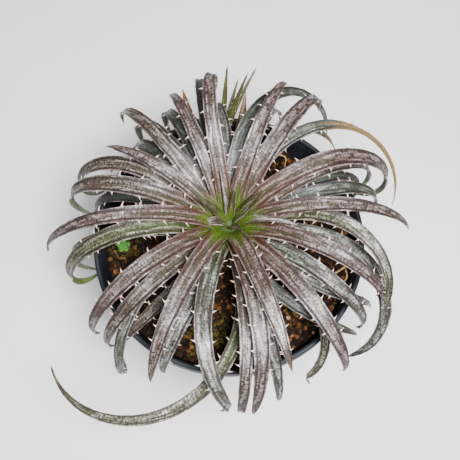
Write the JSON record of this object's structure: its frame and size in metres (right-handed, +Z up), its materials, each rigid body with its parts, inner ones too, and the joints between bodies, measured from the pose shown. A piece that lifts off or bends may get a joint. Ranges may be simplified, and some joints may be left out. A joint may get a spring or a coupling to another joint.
{
  "type": "dyckia bromeliad in a nursery pot",
  "caption": "Spiny rosette bromeliad with arching, scurfy leaves, rooted in coarse potting mix in a round plastic nursery pot.",
  "frame": {"origin": "centre of the pot's underside, on its foot plane", "axes": "+Z up along the pot's axis; +Y towards the back, where the small offset stands; +X to the right"},
  "size_m": [0.1935, 0.2008, 0.1771],
  "materials": {
    "pot_plastic": "satin moulded plastic",
    "potting_mix": "matt, coarse grains",
    "crown_leaf": "living leaf bases, satin",
    "upper_leaf": "living leaf with pale scurf, satin",
    "lower_leaf": "living leaf with pale scurf, satin",
    "pup_leaf": "living leaf, satin",
    "seedling_leaf": "living leaf, soft sheen",
    "dry_leaf": "dead leaf, papery",
    "straw": "dried fibre, matt"
  },
  "bodies": {
    "root": {"pot": "pot_plastic", "soil": "potting_mix", "crown": "crown_leaf", "pup": "pup_leaf", "seedling": "seedling_leaf", "leaf_01": "upper_leaf", "leaf_02": "lower_leaf", "leaf_03": "upper_leaf", "leaf_04": "lower_leaf", "leaf_05": "upper_leaf", "leaf_06": "lower_leaf", "leaf_07": "lower_leaf", "leaf_08": "lower_leaf", "leaf_09": "upper_leaf", "leaf_10": "lower_leaf", "leaf_11": "lower_leaf", "leaf_12": "upper_leaf", "leaf_13": "lower_leaf", "leaf_14": "lower_leaf", "leaf_15": "upper_leaf", "leaf_16": "upper_leaf", "leaf_17": "lower_leaf", "leaf_18": "upper_leaf", "leaf_19": "lower_leaf", "leaf_20": "lower_leaf", "leaf_21": "upper_leaf", "leaf_22": "lower_leaf", "leaf_23": "upper_leaf", "leaf_24": "upper_leaf", "leaf_25": "lower_leaf", "leaf_26": "lower_leaf", "leaf_27": "upper_leaf", "leaf_28": "lower_leaf", "leaf_29": "upper_leaf", "leaf_30": "upper_leaf", "leaf_31": "lower_leaf", "leaf_32": "lower_leaf", "leaf_33": "lower_leaf", "leaf_34": "upper_leaf", "leaf_35": "upper_leaf", "leaf_36": "lower_leaf", "leaf_37": "lower_leaf", "leaf_38": "upper_leaf", "leaf_39": "lower_leaf", "leaf_40": "lower_leaf", "leaf_41": "lower_leaf", "leaf_42": "lower_leaf", "leaf_43": "lower_leaf", "leaf_44": "lower_leaf", "leaf_45": "lower_leaf", "leaf_46": "lower_leaf", "leaf_47": "lower_leaf", "leaf_48": "lower_leaf", "dry_leaf_1": "dry_leaf", "dry_leaf_2": "dry_leaf", "straw_1": "straw", "straw_2": "straw", "straw_3": "straw", "straw_4": "straw"}
  },
  "joints": []
}
